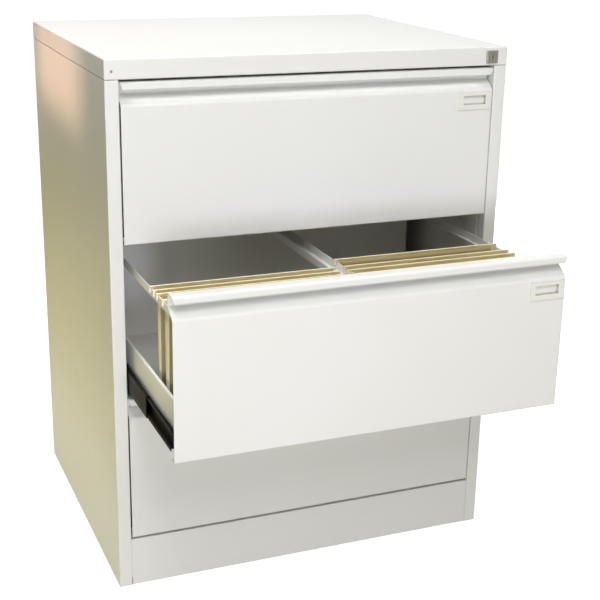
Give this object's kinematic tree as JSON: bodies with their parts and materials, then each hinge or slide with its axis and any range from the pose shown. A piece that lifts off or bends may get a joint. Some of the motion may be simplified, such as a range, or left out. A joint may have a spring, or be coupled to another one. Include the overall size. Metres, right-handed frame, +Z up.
{
  "type": "suspension filing cabinet",
  "caption": "Low wide steel filing cabinet on a plinth, with drawers on telescopic slides, grip lips, label holders, a central lock, and suspension files hung in rows in an open drawer.",
  "frame": {"origin": "on the floor, in the middle of the plan that the cabinet and its open middle drawer cover", "axes": "+Z up, +X to the right of someone who faces the drawers, +Y to the back"},
  "size_m": [0.775, 0.9226, 1],
  "materials": {
    "off_white_paint": "satin powder coat",
    "black_slide_steel": "black slide steel",
    "zinc_steel": "zinc plated",
    "lock_grey_metal": "dark grey die casting",
    "cream_plastic": "moulded, fine texture",
    "manila_card": "manila card"
  },
  "bodies": {
    "carcass": {"left_side_panel": "off_white_paint", "right_side_panel": "off_white_paint", "back_panel": "off_white_paint", "base_panel": "off_white_paint", "plinth_front": "off_white_paint", "top_cover": "off_white_paint", "front_upright_left": "off_white_paint", "front_upright_right": "off_white_paint", "rear_upright_left": "off_white_paint", "rear_upright_right": "off_white_paint", "lock_housing": "lock_grey_metal", "top_slide_outer_left": "black_slide_steel", "top_slide_outer_right": "black_slide_steel", "middle_slide_outer_left": "black_slide_steel", "middle_slide_outer_right": "black_slide_steel", "bottom_slide_outer_left": "black_slide_steel", "bottom_slide_outer_right": "black_slide_steel"},
    "lock_plug": {"lock_cylinder": "zinc_steel", "lock_cam": "zinc_steel"},
    "lock_bar": {"locking_bar": "zinc_steel"},
    "top_drawer": {"top_drawer_front": "off_white_paint", "top_front_liner": "off_white_paint", "top_drawer_tray": "off_white_paint", "top_drawer_back": "off_white_paint", "top_rail_centre": "off_white_paint", "top_rail_left": "off_white_paint", "top_rail_right": "off_white_paint", "top_label_holder": "cream_plastic", "top_slide_inner_left": "black_slide_steel", "top_slide_inner_right": "black_slide_steel"},
    "top_slide_carriers": {"top_slide_carrier_left": "black_slide_steel", "top_slide_carrier_right": "black_slide_steel"},
    "middle_drawer": {"middle_drawer_front": "off_white_paint", "middle_front_liner": "off_white_paint", "middle_drawer_tray": "off_white_paint", "middle_drawer_back": "off_white_paint", "middle_rail_centre": "off_white_paint", "middle_rail_left": "off_white_paint", "middle_rail_right": "off_white_paint", "middle_label_holder": "cream_plastic", "middle_slide_inner_left": "black_slide_steel", "middle_slide_inner_right": "black_slide_steel", "file_left_front": "manila_card", "file_left_rear": "manila_card", "file_right_front": "manila_card", "file_right_rear": "manila_card"},
    "middle_slide_carriers": {"middle_slide_carrier_left": "black_slide_steel", "middle_slide_carrier_right": "black_slide_steel"},
    "bottom_drawer": {"bottom_drawer_front": "off_white_paint", "bottom_front_liner": "off_white_paint", "bottom_drawer_tray": "off_white_paint", "bottom_drawer_back": "off_white_paint", "bottom_rail_centre": "off_white_paint", "bottom_rail_left": "off_white_paint", "bottom_rail_right": "off_white_paint", "bottom_label_holder": "cream_plastic", "bottom_slide_inner_left": "black_slide_steel", "bottom_slide_inner_right": "black_slide_steel"},
    "bottom_slide_carriers": {"bottom_slide_carrier_left": "black_slide_steel", "bottom_slide_carrier_right": "black_slide_steel"}
  },
  "joints": [
    {"name": "top_drawer_slide", "type": "slide", "parent": "carcass", "child": "top_drawer", "axis": [0, -1, 0], "range_m": [0, 0.52]},
    {"name": "top_carrier_slide", "type": "slide", "parent": "carcass", "child": "top_slide_carriers", "axis": [0, -1, 0], "range_m": [0, 0.26]},
    {"name": "middle_drawer_slide", "type": "slide", "parent": "carcass", "child": "middle_drawer", "axis": [0, -1, 0], "range_m": [-0.29, 0.23]},
    {"name": "middle_carrier_slide", "type": "slide", "parent": "carcass", "child": "middle_slide_carriers", "axis": [0, -1, 0], "range_m": [-0.145, 0.115]},
    {"name": "bottom_drawer_slide", "type": "slide", "parent": "carcass", "child": "bottom_drawer", "axis": [0, -1, 0], "range_m": [0, 0.52]},
    {"name": "bottom_carrier_slide", "type": "slide", "parent": "carcass", "child": "bottom_slide_carriers", "axis": [0, -1, 0], "range_m": [0, 0.26]},
    {"name": "lock_turn", "type": "hinge", "parent": "carcass", "child": "lock_plug", "pos_m": [0.3545, -0.16865, 0.9813], "axis": [0, -1, 0], "range_deg": [0, 90]},
    {"name": "bar_lift", "type": "slide", "parent": "carcass", "child": "lock_bar", "axis": [0, 0, 1], "range_m": [0, 0.01697]}
  ],
  "couplings": [
    {"joint": "top_carrier_slide", "follows": "top_drawer_slide", "ratio": 0.5},
    {"joint": "middle_carrier_slide", "follows": "middle_drawer_slide", "ratio": 0.5},
    {"joint": "bottom_carrier_slide", "follows": "bottom_drawer_slide", "ratio": 0.5},
    {"joint": "bar_lift", "follows": "lock_turn", "m_per_rad": 0.010804}
  ]
}
